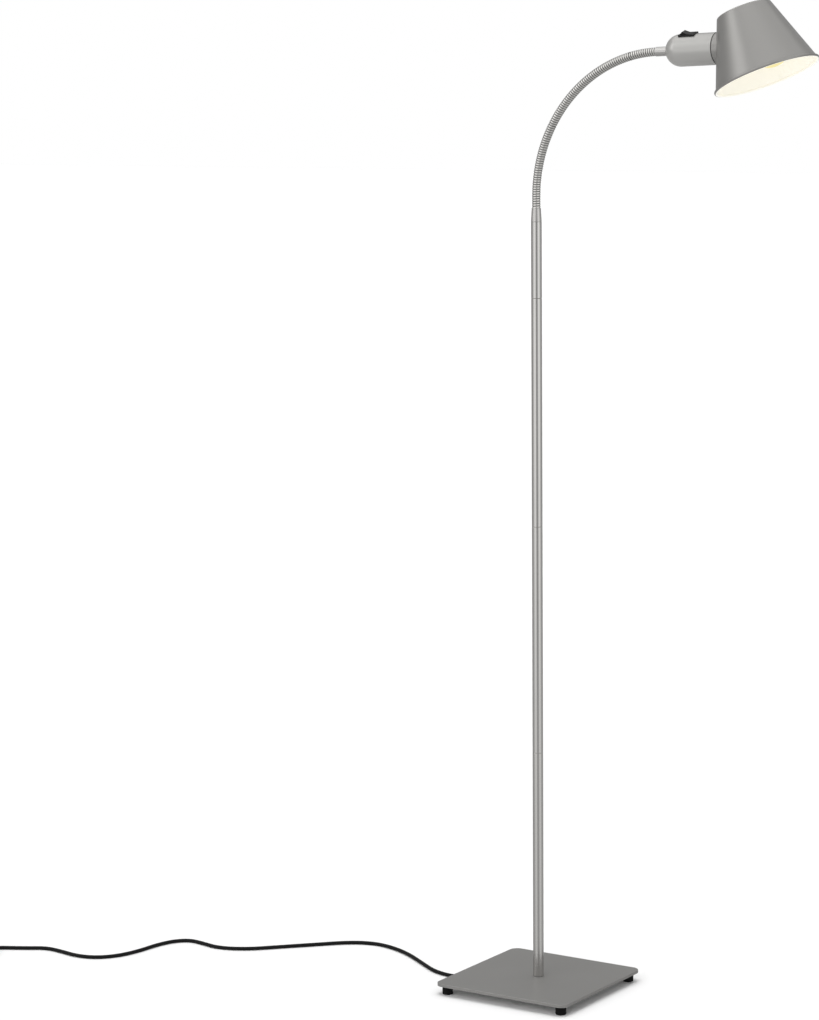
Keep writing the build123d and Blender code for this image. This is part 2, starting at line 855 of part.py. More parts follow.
cord_join = nipple_bottom + bush_length - cord_join_inset
with BuildPart() as lamp_lead:
    with BuildLine() as lead_path:
        Line((0, 0, cord_join), neck_plane(0).origin)
        neck_line(0, neck_length + lead_end)
    add(cord_tube(Plane.XY.offset(cord_join)))
    sweep(path=lead_path.wire())
lamp_lead.part.label = "lamp_lead"
export_step(lamp_lead.part, "parts/lamp_lead.step")


def wire(start, end, offset):
    """A straight wire along the housing, so far to the switch's side of its axis."""
    place = head_plane(start)
    with BuildPart() as strand:
        with BuildSketch(Plane(place.origin + switch_normal * offset, place.x_dir, place.z_dir)):
            Circle(wire_diameter / 2)
        extrude(amount=end - start)
    return strand.part


near_terminal = switch_reach - terminal_spacing / 2 - terminal_thickness / 2
far_terminal = switch_reach + terminal_spacing / 2 + terminal_thickness / 2
with BuildPart() as housing_wires:
    add(wire(lead_end, near_terminal, wire_offset))
    add(wire(far_terminal, holder_start, wire_offset))
    add(wire(lead_end, holder_start, -wire_offset))
housing_wires.part.label = "housing_wires"
export_step(housing_wires.part, "parts/housing_wires.step")

# --------------------------------------------------------------------------- mains cord
cord_radius = cord_diameter / 2
cord_rest = cord_radius + floor_gap  # height of the cord's centre line on the floor
# the route on the floor, chosen by hand from the photograph: out under the rear edge of the
# plate and away to the left
route = [
    (0, 0),
    (-16, -1),
    (-40, -5),
    (-78, -11),
    (-116, -20),
    (-152, -15),
    (-190, 11),
    (-228, 36),
    (-264, 52),
    (-298, 57),
    (-331, 44),
    (-366, 13),
    (-401, -19),
    (-436, -52),
    (-474, -67),
    (-507, -60),
    (-531, -56),
    (-549, -72),
    (-557, -100),
    (-560, -136),
    (-569, -170),
    (-589, -193),
    (-618, -200),
    (-650, -194),
    (-678, -193),
    (-704, -213),
    (-734, -232),
    (-764, -253),
]
coil_heading = atan2(route[-1][1] - route[-2][1], route[-1][0] - route[-2][0])


def corner_radii(points):
    """The radius of the arc at each corner of a route: as large as its two runs allow."""
    radii = []
    for before, corner, after in zip(points[:-2], points[1:-1], points[2:]):
        arriving = Vector(*corner) - Vector(*before)
        leaving = Vector(*after) - Vector(*corner)
        half_turn = radians(arriving.get_angle(leaving)) / 2
        radii.append(corner_share * min(arriving.length, leaving.length) / tan(half_turn))
    return radii


def route_tube(points):
    """Sweeps the cord's section along straight runs joined by tangent arcs."""
    radii = corner_radii(points)
    with BuildPart() as tube:
        with BuildLine() as path:
            FilletPolyline(*points, radius=radii)
        line = path.wire()
        start = Plane(origin=points[0], z_dir=Vector(*points[1]) - Vector(*points[0]))
        add(cord_tube(start))
        sweep(path=line)
    section = pi * cord_radius**2
    print(
        f"cord run: {line.length:.1f} mm, volume / (section x length)",
        f"{tube.part.volume / section / line.length:.5f},",
        "radii", [round(radius, 1) for radius in radii],
    )
    return tube.part, line.length


cord_points = [(0, 0, cord_join)] + [(x, y, cord_rest) for x, y in route]
mains_tube, mains_length = route_tube(cord_points)
with BuildPart() as mains_cord:
    add(mains_tube)
mains_cord.part.label = "mains_cord"
export_step(mains_cord.part, "parts/mains_cord.step")

# the put-away coil: two layers of half turns, in and up and out again
coil_forward = Vector(cos(coil_heading), sin(coil_heading))
coil_side = Vector(sin(coil_heading), -cos(coil_heading))
coil_outer_radius = coil_inner_radius + coil_half_turns * coil_pitch / 2
coil_entry = Vector(route[-1][0], route[-1][1], cord_rest)
coil_start = coil_entry + coil_forward * cord_diameter
coil_centre = coil_start - coil_side * coil_outer_radius


def coil_points():
    """Ends of the coil's arcs: half turns, and two quarter turns where it climbs a layer."""
    points = []
    for turn in range(coil_half_turns + 1):
        radius = coil_outer_radius - turn * coil_pitch / 2
        points.append(coil_centre + coil_side * radius * (-1) ** turn)
    climb_radius = hypot(coil_inner_radius, coil_layer_height / 2)
    climb = Vector(0, 0, coil_layer_height)
    side = (-1) ** coil_half_turns
    points.append(coil_centre + coil_forward * climb_radius * side + climb / 2)
    for turn in range(coil_half_turns + 2):
        radius = coil_inner_radius + turn * coil_pitch / 2
        points.append(coil_centre - coil_side * radius * side * (-1) ** turn + climb)
    return points


turning_points = coil_points()
with BuildPart() as cord_coil:
    with BuildLine() as coil_path:
        Line(coil_entry, coil_start)
        heading = coil_forward
        for arc_start, arc_end in zip(turning_points[:-1], turning_points[1:]):
            arc = TangentArc(arc_start, arc_end, tangent=heading)
            heading = arc % 1
        coil_end = turning_points[-1] + heading * cord_diameter
        Line(turning_points[-1], coil_end)
    coil_line = coil_path.wire()
    add(cord_tube(Plane(origin=coil_entry, z_dir=coil_forward)))
    sweep(path=coil_line)
cord_coil.part.label = "cord_coil"
export_step(cord_coil.part, "parts/cord_coil.step")


def least_gap(line, diameter):
    """The least gap between stretches of a tube that are four diameters or more apart along it."""
    places_per_diameter = 2
    count = int(line.length / diameter * places_per_diameter)
    places = [line @ (number / count) for number in range(count + 1)]
    apart = 4 * places_per_diameter
    return min(
        (places[first] - places[second]).length - diameter
        for first in range(len(places))
        for second in range(first + apart, len(places))
    )


print(
    f"coil: {coil_line.length:.1f} mm, least gap to itself",
    f"{least_gap(coil_line, cord_diameter):.2f} mm",
)

# the tail goes on from the coil's upper layer and comes down to the middle of the plug
tail_points = [coil_end]
for run, turn, drop in tail_runs:
    coil_heading += radians(turn)
    step = Vector(cos(coil_heading), sin(coil_heading)) * run - Vector(0, 0, drop)
    tail_points.append(tail_points[-1] + step)
tail_tube, tail_length = route_tube([tuple(point) for point in tail_points])
with BuildPart() as cord_tail:
    add(tail_tube)
cord_tail.part.label = "cord_tail"
export_step(cord_tail.part, "parts/cord_tail.step")
print(f"cord in all: {mains_length + coil_line.length + tail_length:.0f} mm")

# ------------------------------------------------------------------------ two-pin plug
plug_heading = (tail_points[-1] - tail_points[-2]).normalized()
plug_forward = Vector(plug_heading.X, plug_heading.Y).normalized()
relief_start = tail_points[-1]
plug_axis_plane = Plane(origin=relief_start, x_dir=plug_forward, z_dir=(0, 0, 1))
plug_start = plug_relief_length
plug_face = plug_start + plug_body_length


def plug_plane(distance, side=0.0):
    """The plane square to the plug, so far along from the end of its strain relief."""
    across = Vector(-plug_forward.Y, plug_forward.X)
    origin = relief_start + plug_forward * distance + across * side
    return Plane(origin=origin, x_dir=across, z_dir=plug_forward)


with BuildPart() as plug_relief:
    ring_pitch = plug_relief_length / plug_relief_rings
    with BuildSketch(plug_axis_plane):
        with BuildLine():
            outline = [(0, 0)]
            for ring in range(plug_relief_rings):
                ring_radius = plug_relief_end_diameter / 2 + ring * plug_relief_growth
                ring_end = (ring + plug_ring_share) * ring_pitch
                outline += [
                    (ring * ring_pitch, ring_radius),
                    (ring_end, ring_radius),
                    (ring_end, ring_radius - plug_relief_groove),
                    ((ring + 1) * ring_pitch, ring_radius - plug_relief_groove),
                ]
            outline.append((plug_relief_length, 0))
            Polyline(*outline, close=True)
        make_face()
    revolve(axis=Axis(relief_start, plug_forward))
plug_relief.part.label = "plug_relief"
export_step(plug_relief.part, "parts/plug_relief.step")

with BuildPart() as plug_body:
    with BuildSketch(plug_axis_plane.offset(-plug_thickness / 2)):
        with BuildLine():
            half_outline = [
                (plug_start, plug_back_width / 2),
                (plug_start + plug_grip_start, plug_nose_width / 2),
                (plug_start + plug_grip_end, plug_nose_width / 2),
                (plug_start + plug_flare_end, plug_width / 2),
                (plug_face, plug_width / 2),
            ]
            mirrored = [(x, -y) for x, y in reversed(half_outline)]
            Polyline(*half_outline, *mirrored, close=True)
        make_face()
    extrude(amount=plug_thickness)
    long_edges = plug_body.edges().filter_by(Axis.Z, reverse=True)
    chamfer(long_edges.group_by(Axis.Z)[-1] + long_edges.group_by(Axis.Z)[0], plug_edge_round)
    for side in (-plug_pin_spacing / 2, plug_pin_spacing / 2):
        with BuildSketch(plug_plane(plug_face, side)):
            Circle(plug_pin_neck_diameter / 2)
        extrude(amount=-plug_pin_root, mode=Mode.SUBTRACT)
plug_body.part.label = "plug_body"
export_step(plug_body.part, "parts/plug_body.step")

with BuildPart() as plug_pins:
    for side in (-plug_pin_spacing / 2, plug_pin_spacing / 2):
        with BuildSketch(plug_plane(plug_face - plug_pin_root, side)):
            Circle(plug_pin_neck_diameter / 2)
        extrude(amount=plug_pin_root + plug_pin_sleeve_length)
        with BuildSketch(plug_plane(plug_face + plug_pin_sleeve_length, side)):
            Circle(plug_pin_diameter / 2)
        extrude(amount=plug_pin_length - plug_pin_sleeve_length)
    tips = plug_pins.faces().filter_by(lambda face: face.normal_at().dot(plug_forward) > 0.99)
    tips = tips.sort_by(Axis(relief_start, plug_forward))[-2:]
    chamfer(tips.edges(), plug_pin_chamfer)
plug_pins.part.label = "plug_pins"
export_step(plug_pins.part, "parts/plug_pins.step")

with BuildPart() as plug_sleeves:
    for side in (-plug_pin_spacing / 2, plug_pin_spacing / 2):
        with BuildSketch(plug_plane(plug_face, side)):
            Circle(plug_pin_diameter / 2)
            Circle(plug_pin_neck_diameter / 2, mode=Mode.SUBTRACT)
        extrude(amount=plug_pin_sleeve_length)
plug_sleeves.part.label = "plug_sleeves"
export_step(plug_sleeves.part, "parts/plug_sleeves.step")
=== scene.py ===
"""Gooseneck reading floor lamp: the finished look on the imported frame. Metres, as in the frame."""

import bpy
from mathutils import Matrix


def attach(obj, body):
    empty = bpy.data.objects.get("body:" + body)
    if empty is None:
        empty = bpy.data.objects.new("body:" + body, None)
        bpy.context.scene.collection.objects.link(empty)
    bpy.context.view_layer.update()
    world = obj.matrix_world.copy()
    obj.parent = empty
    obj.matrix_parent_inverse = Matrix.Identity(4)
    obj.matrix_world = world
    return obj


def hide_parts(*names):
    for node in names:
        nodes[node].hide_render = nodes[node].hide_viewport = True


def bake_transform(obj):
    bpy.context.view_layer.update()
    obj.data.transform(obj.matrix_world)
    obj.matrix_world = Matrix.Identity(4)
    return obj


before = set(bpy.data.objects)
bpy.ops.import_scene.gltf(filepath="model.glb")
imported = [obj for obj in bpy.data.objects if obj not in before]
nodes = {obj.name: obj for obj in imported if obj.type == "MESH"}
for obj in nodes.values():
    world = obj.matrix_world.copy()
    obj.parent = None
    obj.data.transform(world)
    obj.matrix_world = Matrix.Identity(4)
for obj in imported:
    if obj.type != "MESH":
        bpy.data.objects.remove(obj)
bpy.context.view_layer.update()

from math import atan2, cos, pi, radians, sin, sqrt, tan

import bpy
from mathutils import Matrix, Vector

scene = bpy.context.scene
scene.view_settings.view_transform = "Standard"


# ------------------------------------------------------------------------------ camera
heading = radians(32.0233)
tilt = radians(90 - 4.3977)
roll = radians(-0.1982)
camera_place = (2.08624, -3.39765, 1.17255)

camera = bpy.data.objects.new("camera", bpy.data.cameras.new("camera"))
scene.collection.objects.link(camera)
scene.camera = camera
camera.data.lens = 108.1617
camera.data.shift_x = -0.1
camera.data.shift_y = -0.17
camera.data.clip_end = 100.0
camera.matrix_world = (
    Matrix.Translation(camera_place)
    @ Matrix.Rotation(heading, 4, "Z")
    @ Matrix.Rotation(tilt, 4, "X")
    @ Matrix.Rotation(roll, 4, "Z")
)


# --------------------------------------------------------------------------- materials
class Graph:
    """A material's node tree, with short calls to add and join nodes.

    Sockets are given by name, with _ for a space, or by number as i0, i1 and so on.
    """

    def __init__(self, name):
        self.material = bpy.data.materials.new(name)
        self.material.use_nodes = True
        self.tree = self.material.node_tree
        self.tree.nodes.clear()
        self.output = self.tree.nodes.new("ShaderNodeOutputMaterial")

    def add(self, kind, settings=None, **sockets):
        node = self.tree.nodes.new("ShaderNode" + kind)
        for key, value in (settings or {}).items():
            setattr(node, key, value)
        for key, value in sockets.items():
            self.put(node, int(key[1:]) if key[0] == "i" and key[1:].isdigit() else key, value)
        return node

    def put(self, node, key, value):
        socket = node.inputs[key.replace("_", " ") if isinstance(key, str) else key]
        if isinstance(value, bpy.types.NodeSocket):
            self.tree.links.new(value, socket)
        else:
            socket.default_value = value

    def noise(self, scale, stretch=(1, 1, 1), detail=4.0, rough=0.5):
        place = self.add("TexCoord").outputs["Object"]
        mapping = self.add("Mapping", Vector=place, Scale=stretch)
        return self.add(
            "TexNoise", Vector=mapping.outputs[0], Scale=scale, Detail=detail, Roughness=rough
        ).outputs["Fac"]

    def span(self, value, low, high, source=(0.0, 1.0)):
        return self.add(
            "MapRange", Value=value, From_Min=source[0], From_Max=source[1], To_Min=low, To_Max=high
        ).outputs[0]

    def math(self, operation, first, second=0.0, third=0.0):
        return self.add("Math", {"operation": operation}, i0=first, i1=second, i2=third).outputs[0]

    def dot(self, first, second):
        node = self.add("VectorMath", {"operation": "DOT_PRODUCT"}, i0=first, i1=second)
        return node.outputs["Value"]

    def mix(self, factor, first, second):
        return self.add(
            "Mix", {"data_type": "RGBA"}, i0=factor, i6=first, i7=second
        ).outputs[2]

    def bump(self, height, strength, distance):
        return self.add("Bump", Height=height, Strength=strength, Distance=distance).outputs[0]

    def blend(self, factor, first, second):
        """The shader node that is first at factor 0 and second at 1."""
        return self.add("MixShader", i0=factor, i1=first.outputs[0], i2=second.outputs[0])

    def show(self, shader):
        self.tree.links.new(shader.outputs[0], self.output.inputs["Surface"])

    def finish(self, **sockets):
        self.show(self.add("BsdfPrincipled", **sockets))
        return self.material


def rgb(value):
    """A grey or a colour as a shader colour."""
    return (value, value, value, 1.0) if isinstance(value, float) else (*value, 1.0)


def metal(name, colour, roughness, stretch=(1, 1, 1), grain=400.0, bump=0.04, painted_groove_shade=False):
    """Satin metal with a fine grain, drawn out along one direction where it is brushed.

    Where the groove is shaded, the colour goes nearly black as the mesh's groove attribute nears 1:
    painted shade in the wound groove.
    """
    g = Graph(name)
    fine = g.noise(grain, stretch, 3.0, 0.6)
    broad = g.noise(9.0, (1, 1, 1), 2.0)
    shade = g.mix(g.span(broad, 0.0, 0.12), rgb(colour), rgb(0.35))
    if painted_groove_shade:
        # painted shade: the wound groove's shadow, darker with the groove's depth
        groove = g.add("Attribute", {"attribute_name": "groove"}).outputs["Fac"]
        shade = g.mix(groove, shade, rgb(0.01))
    grain_rough = g.span(fine, roughness - 0.05, roughness + 0.05)
    rough = g.math("ADD", grain_rough, g.span(broad, -0.02, 0.02))
    return g.finish(
        Base_Color=shade, Metallic=1.0, Roughness=rough, Normal=g.bump(fine, bump, 0.0002)
    )


def paint(name, colour, roughness, grain=900.0, bump=0.08, metallic=0.0):
    """Sprayed paint with a fine orange peel and a little unevenness of tone."""
    g = Graph(name)
    fine = g.noise(grain, (1, 1, 1), 2.0, 0.5)
    broad = g.noise(14.0, (1, 1, 1), 3.0)
    tone = g.mix(g.span(broad, 0.0, 0.1), rgb(colour), rgb(0.0))
    rough = g.span(fine, roughness - 0.04, roughness + 0.04)
    return g.finish(
        Base_Color=tone, Roughness=rough, Normal=g.bump(fine, bump, 0.0001), Metallic=metallic
    )


def plastic(name, colour, roughness, bump=0.05, gloss=0.5):
    """Moulded plastic with a slight grain and cloudy wear in its gloss."""
    g = Graph(name)
    fine = g.noise(1500.0, (1, 1, 1), 2.0)
    broad = g.noise(60.0, (1, 1, 1), 4.0)
    rough = g.span(broad, roughness - 0.06, roughness + 0.08)
    tone = g.mix(g.span(fine, 0.0, 0.25), rgb(colour), rgb(0.03))
    return g.finish(
        Base_Color=tone,
        Roughness=rough,
        Normal=g.bump(fine, bump, 0.0001),
        Specular_IOR_Level=gloss,
    )


brushed_upright = (1, 1, 0.02)
satin_tube = metal(
    "satin_tube", (0.57, 0.56, 0.545), 0.2, stretch=brushed_upright, grain=900.0, bump=0.02
)
# the hose's metal, with painted shade in its wound groove
hose_metal = metal("hose_metal", (0.7, 0.69, 0.665), 0.15, grain=700.0, bump=0.02, painted_groove_shade=True)
plated = metal("plated", (0.62, 0.61, 0.58), 0.3)
brass = metal("brass", (0.72, 0.55, 0.26), 0.3)
cap_metal = metal("cap_metal", (0.75, 0.75, 0.76), 0.3)
plate_paint = paint("plate_paint", (0.238, 0.234, 0.226), 0.4, metallic=0.35)
housing_paint = paint("housing_paint", (0.46, 0.455, 0.44), 0.3, metallic=0.55)
# painted shade: the front cap sits in the groove between housing and shade, and its dark grey stands
# for the shadow line there
groove_shade_paint = paint("groove_shade_paint", (0.16, 0.157, 0.15), 0.45)
black_plastic = plastic("black_plastic", 0.006, 0.4, gloss=0.25)
dark_plastic = plastic("dark_plastic", 0.02, 0.4)
foot_rubber = plastic("foot_rubber", 0.002, 0.7, bump=0.15, gloss=0.1)
cord_jacket = plastic("cord_jacket", 0.004, 0.45, bump=0.1, gloss=0.1)
wire_jacket = plastic("wire_jacket", (0.2, 0.05, 0.03), 0.4)

# the shade's axis, from its closed top down; its wall's middle grows from mid_radius by spread,
# and in the rim's bead the white reaches a lip further out
shade_top = Vector((0.30260, 0.0, 1.28440))
shade_down = Vector((0.3746, 0.0, -0.9272)).normalized()
shade_height = 0.088
shade_bead = 0.0019
shade_lip = 0.0005
shade_mid_radius = 0.0345
shade_spread = tan(radians(20))
half_top_wall = 0.0005


def shade_paint():
    """Grey enamel outside and matt white inside, told apart by the side of the wall; the white
    inside also has a faint painted glow of the lit bulb's light.
    """
    g = Graph("shade_paint")
    place = g.add("TexCoord").outputs["Object"]
    offset = g.add("VectorMath", {"operation": "SUBTRACT"}, i0=place, i1=shade_top).outputs[0]
    depth = g.dot(offset, shade_down)
    total = g.add("VectorMath", {"operation": "LENGTH"}, i0=offset).outputs["Value"]
    total_squared = g.math("MULTIPLY", total, total)
    depth_squared = g.math("MULTIPLY", depth, depth)
    across = g.math("SQRT", g.math("SUBTRACT", total_squared, depth_squared))
    in_bead = g.math("GREATER_THAN", depth, shade_height - shade_bead)
    wall = g.math("MULTIPLY_ADD", depth, shade_spread, shade_mid_radius)
    edge = g.math("MULTIPLY_ADD", in_bead, shade_lip, wall)
    inside_wall = g.math("LESS_THAN", across, edge)
    below_top = g.math("GREATER_THAN", depth, half_top_wall)
    inside = g.math("MULTIPLY", inside_wall, below_top)
    broad = g.noise(14.0, (1, 1, 1), 3.0)
    fine = g.noise(900.0, (1, 1, 1), 2.0)
    grey = g.mix(g.span(broad, 0.0, 0.08), rgb((0.315, 0.309, 0.298)), rgb(0.1))
    colour = g.mix(inside, grey, rgb((0.88, 0.87, 0.83)))
    return g.finish(
        Base_Color=colour,
        Roughness=g.span(inside, 0.3, 0.6),
        Metallic=g.span(inside, 0.7, 0.0),
        Normal=g.bump(fine, 0.06, 0.0001),
        # painted light: a faint warm glow on the white inside, standing for the lit bulb's light
        # falling on it
        Emission_Color=g.mix(inside, rgb(0.0), rgb((1.0, 0.96, 0.84))),
        Emission_Strength=0.16,
    )


def warm_glass():
    """The lit bulb's pale glass."""
    g = Graph("warm_glass")
    broad = g.noise(20.0, (1, 1, 1), 2.0)
    glow = g.mix(broad, rgb((1.0, 0.86, 0.4)), rgb((1.0, 0.9, 0.5)))
    return g.finish(
        Base_Color=g.mix(broad, rgb((0.62, 0.53, 0.2)), rgb((0.66, 0.57, 0.24))),
        Roughness=0.25,
        Emission_Color=glow,
        Emission_Strength=0.35,
    )


looks = {
    satin_tube: (
        "lower_tube", "middle_tube", "upper_tube", "neck_tube", "neck_reducer", "neck_ferrule",
    ),
    plated: (
        "foot_screws", "base_washer", "base_nut", "base_nipple", "tube_inserts", "seam_nipples",
        "neck_lock_nut",
    ),
    brass: ("switch_terminals", "screw_shell", "centre_contact", "bulb_contact", "plug_pins"),
    cap_metal: ("bulb_cap",),
    plate_paint: ("base_plate",),
    housing_paint: ("lamp_housing",),
    black_plastic: ("switch_body", "switch_rocker"),
    groove_shade_paint: ("front_cap",),
    dark_plastic: ("lampholder", "shade_ring", "cord_bush", "plug_body", "plug_sleeves"),
    foot_rubber: ("foot_1", "foot_2", "foot_3", "foot_4"),
    cord_jacket: ("plug_relief",),
    wire_jacket: ("housing_wires",),
    shade_paint(): ("shade",),
    warm_glass(): ("bulb_glass",),
}
for material, names in looks.items():
    for name in names:
        slots = nodes[name].material_slots
        for number in range(len(slots)):
            slots[number].material = material


# ------------------------------------------------------------------------- mains cord
cord_diameter = 0.005
cord_top = 0.016
lying_height = 0.0026
cord_points = [Vector((0, 0, cord_top))] + [
    Vector((x / 1000, y / 1000, lying_height))
    for x, y in (
        (0, 0), (-16, -1), (-40, -6), (-78, -13), (-116, -23), (-152, -18), (-192, 9),
        (-231, 35), (-268, 51), (-302, 56), (-335, 42), (-368, 9), (-402, -25), (-436, -60),
        (-474, -76), (-507, -69), (-531, -65), (-549, -81), (-557, -109), (-559, -145),
        (-568, -179), (-588, -202), (-617, -209), (-649, -203), (-678, -200), (-704, -217),
        (-734, -232), (-764, -253),
    )
]

# the cord's spare length, coiled inward on the floor and outward again in a second layer; the
# step and the climb between the layers count half turns
coil_inner = 0.020
coil_step = 0.0032
coil_layer = 0.006
coil_turns = 5
turn_points = 16
climb_starts = 4
climb_ends = 5
way = atan2(cord_points[-1].y - cord_points[-2].y, cord_points[-1].x - cord_points[-2].x)
coil_forward = Vector((cos(way), sin(way), 0))
coil_side = Vector((sin(way), -cos(way), 0))
coil_outer = coil_inner + climb_starts * coil_step
coil_start = cord_points[-1] + coil_forward * cord_diameter
coil_centre = coil_start - coil_side * coil_outer
spread = 1 / cos(pi / turn_points)
for number in range(coil_turns * turn_points + 1):
    half_turns = 2 * number / turn_points
    inward = coil_outer - coil_step * min(half_turns, climb_starts)
    radius = inward + coil_step * max(0, half_turns - climb_ends)
    climb = min(max(half_turns - climb_starts, 0), 1) * coil_layer
    angle = pi * half_turns
    cord_points.append(
        coil_centre
        + (coil_side * cos(angle) + coil_forward * sin(angle)) * radius * spread
        + Vector((0, 0, climb))
    )
# its tail, off the coil and down to the plug
for run, bend, drop in ((0.020, 0, 0.0), (0.018, -10, 0.0017), (0.016, -8, 0.0)):
    way += radians(bend)
    cord_points.append(cord_points[-1] + Vector((run * cos(way), run * sin(way), -drop)))

curve = bpy.data.curves.new("cord", "CURVE")
curve.dimensions = "3D"
curve.bevel_depth = cord_diameter / 2
curve.bevel_resolution = 4
curve.resolution_u = 8
curve.use_fill_caps = True
spline = curve.splines.new("NURBS")
spline.points.add(len(cord_points) - 1)
for point, place in zip(spline.points, cord_points):
    point.co = (*place, 1.0)
spline.order_u = 3
spline.use_endpoint_u = True
cord = bpy.data.objects.new("cord", curve)
scene.collection.objects.link(cord)
curve.materials.append(cord_jacket)
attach(cord, "stand")
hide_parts("mains_cord", "cord_coil", "cord_tail")


# -------------------------------------------------------------------------- gooseneck
neck_length = 0.3
neck_straight = 0.015
neck_turn = radians(88)
neck_arc = (neck_length - neck_straight) / neck_turn
neck_start = 1.0335


def neck_frame(distance):
    """The gooseneck's centre line: point, direction and the normal in the arm's plane."""
    angle = min(max(distance - neck_straight, 0.0) / neck_arc, neck_turn)
    beyond = max(distance - neck_length, 0.0)
    point = Vector(
        (
            neck_arc * (1 - cos(angle)) + beyond * sin(angle),
            0,
            neck_start + min(distance, neck_straight) + neck_arc * sin(angle) + beyond * cos(angle),
        )
    )
    return point, Vector((sin(angle), 0, cos(angle))), Vector((cos(angle), 0, -sin(angle)))


neck_radius = 0.0055
groove_depth = 0.0006
groove_pitch = 0.003125
lead_radius = cord_diameter / 2
hose_corners = 36
lead_corners = 16
hose_steps = 80
ball_steps = 5
lead_steps = 10


def wound_groove(turns):
    """How deep the hose is in its groove: 0 on the flat crown, 1 once in each turn."""
    place = abs(turns % 1.0 - 0.5) * 2
    return max(0.0, (place - 0.5) / 0.5) ** 0.8


def make_mesh(name, rings, closed, material):
    """A mesh through rings of points, smooth, with its ends filled where it is closed."""
    count = len(rings[0])
    vertices = [point for ring in rings for point in ring]
    faces = []
    for ring in range(len(rings) - 1):
        low, high = ring * count, (ring + 1) * count
        for corner in range(count):
            beside = (corner + 1) % count
            faces.append((low + corner, low + beside, high + beside, high + corner))
    if closed:
        faces.append(tuple(reversed(range(count))))
        faces.append(tuple(range((len(rings) - 1) * count, len(rings) * count)))
    mesh = bpy.data.meshes.new(name)
    mesh.from_pydata(vertices, [], faces)
    mesh.update()
    mesh.shade_smooth()
    mesh.materials.append(material)
    piece = bpy.data.objects.new(name, mesh)
    scene.collection.objects.link(piece)
    return piece


def tube_rings(start, end, steps, corners, radius_at):
    """Rings around the gooseneck's centre line; radius_at takes a distance and a part of a turn."""
    rings = []
    for step in range(steps + 1):
        distance = start + (end - start) * step / steps
        point, forward, normal = neck_frame(distance)
        side = forward.cross(normal)
        ring = []
        for corner in range(corners):
            angle = 2 * pi * corner / corners
            outward = normal * cos(angle) + side * sin(angle)
            ring.append(point + outward * radius_at(distance, corner / corners))
        rings.append(ring)
    return rings


def hose_radius(distance, turn):
    return neck_radius - groove_depth * wound_groove(distance / groove_pitch - turn)


def add_hose(name, start, end, steps, radius_at):
    """A length of hose, with the depth of its groove as an attribute, which the material uses to
    paint shade into the groove.
    """
    rings = tube_rings(start, end, steps, hose_corners, radius_at)
    piece = make_mesh(name, rings, False, hose_metal)
    depths = piece.data.attributes.new("groove", "FLOAT", "POINT").data
    for count in range((steps + 1) * hose_corners):
        ring, corner = divmod(count, hose_corners)
        distance = start + (end - start) * ring / steps
        depths[count].value = wound_groove(distance / groove_pitch - corner / hose_corners)
    return piece


def lead_rings(start, end, steps):
    return tube_rings(start, end, steps, lead_corners, lambda distance, turn: lead_radius)


def add_lead(name, start, end, steps):
    piece = make_mesh(name, lead_rings(start, end, steps), True, cord_jacket)
    return piece


link_length = 0.025
joint_count = 12
bodies = ["stand"] + [f"neck_{number}" for number in range(1, joint_count)] + ["head"]
# with every joint at its limit the frame's bend loses its axis at these two joints, so here the
# hose turns in two stiff halves, one with a ball that is tucked into the other
stiff_joints = (5, 11)
ball_radius = 0.0048
ball_tuck = 0.0015
relief = 0.0008


def ball_end(middle):
    """The radius along a hose that starts in a ball around the middle of its joint."""

    def radius_at(distance, turn):
        if distance < middle + relief:
            return sqrt(ball_radius**2 - (distance - middle) ** 2)
        return hose_radius(distance, turn)

    return radius_at


for number in range(1, joint_count + 1):
    before, after = bodies[number - 1], bodies[number]
    start, end = link_length * (number - 1), link_length * number
    if number in stiff_joints:
        middle = (start + end) / 2
        near_end, far_start = middle - relief, middle + relief
        half_steps = hose_steps // 2
        near_hose = add_hose(f"hose_{number:02d}_near", start, near_end, half_steps, hose_radius)
        hose = add_hose(
            f"hose_{number:02d}",
            middle - ball_tuck,
            end,
            half_steps + ball_steps,
            ball_end(middle),
        )
        near_lead = add_lead(f"lead_{number:02d}_near", start, near_end, lead_steps // 2)
        lead = add_lead(f"lead_{number:02d}", far_start, end, lead_steps // 2)
        for piece, body in (
            (near_hose, before),
            (near_lead, before),
            (hose, after),
            (lead, after),
        ):
            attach(piece, body)
    else:
        hose = add_hose(f"hose_{number:02d}", start, end, hose_steps, hose_radius)
        lead = add_lead(f"lead_{number:02d}", start, end, lead_steps)
        for piece in (hose, lead):
            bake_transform(piece)
        if number == 1:
            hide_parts("lamp_lead")
    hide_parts(*(["neck_link_00"] if number == 1 else []), f"neck_link_{number:02d}")

# the lead in the pole and in the housing, where nothing bends
pole_ring = [
    Vector((lead_radius * cos(angle), lead_radius * sin(angle), 0))
    for angle in (2 * pi * corner / lead_corners for corner in range(lead_corners))
]
pole_heights = (0.0165, 0.3, 0.7, neck_start)
pole_lead = make_mesh(
    "lead_in_pole",
    [[point + Vector((0, 0, height)) for point in pole_ring] for height in pole_heights],
    True,
    cord_jacket,
)
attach(pole_lead, "stand")
lead_end = 0.334
head_lead = make_mesh("lead_in_head", lead_rings(neck_length, lead_end, 4), True, cord_jacket)
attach(head_lead, "head")


# -------------------------------------------------------------------- floor and lights
# metal mirrors the studio's own walls and table instead of this floor
floor_graph = Graph("floor")
floor_path = floor_graph.add("LightPath")
floor_white = floor_graph.add("BsdfDiffuse", Color=rgb(0.93))
floor_clear = floor_graph.add("BsdfTransparent")
floor_graph.show(floor_graph.blend(floor_path.outputs["Is Glossy Ray"], floor_white, floor_clear))
reach = 40
floor_mesh = bpy.data.meshes.new("floor")
floor_mesh.from_pydata(
    [(-reach, -reach, 0), (reach, -reach, 0), (reach, reach, 0), (-reach, reach, 0)],
    [],
    [(0, 1, 2, 3)],
)
floor_mesh.materials.append(floor_graph.material)
floor = bpy.data.objects.new("floor", floor_mesh)
scene.collection.objects.link(floor)


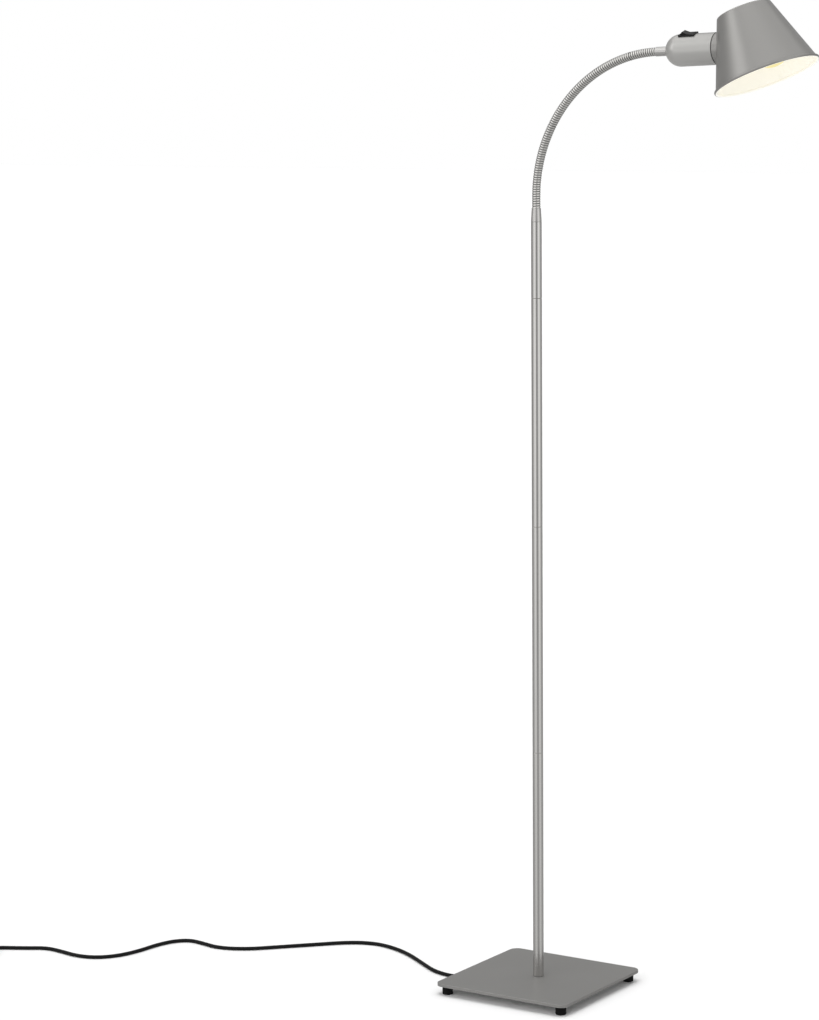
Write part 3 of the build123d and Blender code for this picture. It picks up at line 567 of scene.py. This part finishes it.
class WorldGraph(Graph):
    """The world's node tree, with the same calls."""

    def __init__(self, world):
        world.use_nodes = True
        self.tree = world.node_tree
        self.tree.nodes.clear()
        self.output = self.tree.nodes.new("ShaderNodeOutputWorld")

    def ramp(self, value, stops):
        """Grey levels along a value from 0 to 1, given as pairs of place and level."""
        node = self.add("ValToRGB", i0=value)
        elements = node.color_ramp.elements
        elements[0].position, elements[0].color = stops[0][0], rgb(stops[0][1])
        elements[1].position, elements[1].color = stops[-1][0], rgb(stops[-1][1])
        for place, level in stops[1:-1]:
            elements.new(place).color = rgb(level)
        return node.outputs[0]


world = bpy.data.worlds.new("studio")
scene.world = world
w = WorldGraph(world)
direction = w.add("TexCoord").outputs["Generated"]
front = (sin(heading), -cos(heading), 0)
right = (cos(heading), sin(heading), 0)
height = w.dot(direction, (0, 0, 1))
# 0.5 is toward the front, less is left of it and more is right
heading_angle = w.math("ARCTAN2", w.dot(direction, right), w.dot(direction, front))
around = w.span(heading_angle, 0.0, 1.0, (-pi, pi))
# what the metal mirrors: a softbox low on each side of the camera, a higher one on the left,
# darker walls between them, a pale ceiling and a grey table
low_walls = w.ramp(
    around,
    (
        (0.0, 0.38), (0.16, 0.38), (0.25, 0.46), (0.29, 0.8), (0.333, 1.2), (0.397, 1.35),
        (0.43, 1.2), (0.465, 0.5), (0.517, 0.25), (0.56, 0.75), (0.6, 1.25), (0.65, 1.4),
        (0.71, 0.8), (0.77, 0.46), (1.0, 0.38),
    ),
)
high_walls = w.ramp(
    around,
    (
        (0.0, 0.38), (0.18, 0.42), (0.225, 0.8), (0.262, 1.9), (0.3, 1.7), (0.33, 0.65),
        (0.39, 0.75), (0.7, 0.7), (1.0, 0.38),
    ),
)
ceiling = w.ramp(
    around,
    (
        (0.0, 1.0), (0.197, 1.25), (0.27, 1.15), (0.35, 1.08), (0.5, 1.1), (0.78, 0.95), (1.0, 1.0),
    ),
)
table = rgb(0.5)
walls = w.mix(w.span(height, 0.0, 1.0, (0.02, 0.2)), low_walls, high_walls)
above = w.mix(w.span(height, 0.0, 1.0, (0.58, 0.72)), walls, ceiling)
mirrored = w.mix(w.span(height, 0.9, 0.0, (-0.34, -0.08)), above, table)
path = w.add("LightPath")
studio = w.add("Background", Color=mirrored, Strength=1.0)
plain = w.add("Background", Color=rgb(1.0), Strength=0.6)
white = w.add("Background", Color=rgb(1.0), Strength=1.0)
lighting = w.blend(path.outputs["Is Glossy Ray"], plain, studio)
w.show(w.blend(path.outputs["Is Camera Ray"], lighting, white))


def sun(name, direction, spread, strength):
    """Even light from one direction, spread over that many degrees. Metal doesn't mirror it."""
    lamp = bpy.data.lights.new(name, "SUN")
    lamp.angle = radians(spread)
    lamp.energy = strength
    lamp_object = bpy.data.objects.new(name, lamp)
    scene.collection.objects.link(lamp_object)
    aim = (-Vector(direction)).to_track_quat("-Z", "Y")
    lamp_object.matrix_world = aim.to_matrix().to_4x4()
    lamp_object.visible_glossy = False


sun("overhead", (0.0, 0.0, 1.0), 45, 1.3)
sun("left_box", Vector(front) - 0.6 * Vector(right) + Vector((0, 0, 0.5)), 50, 1.0)
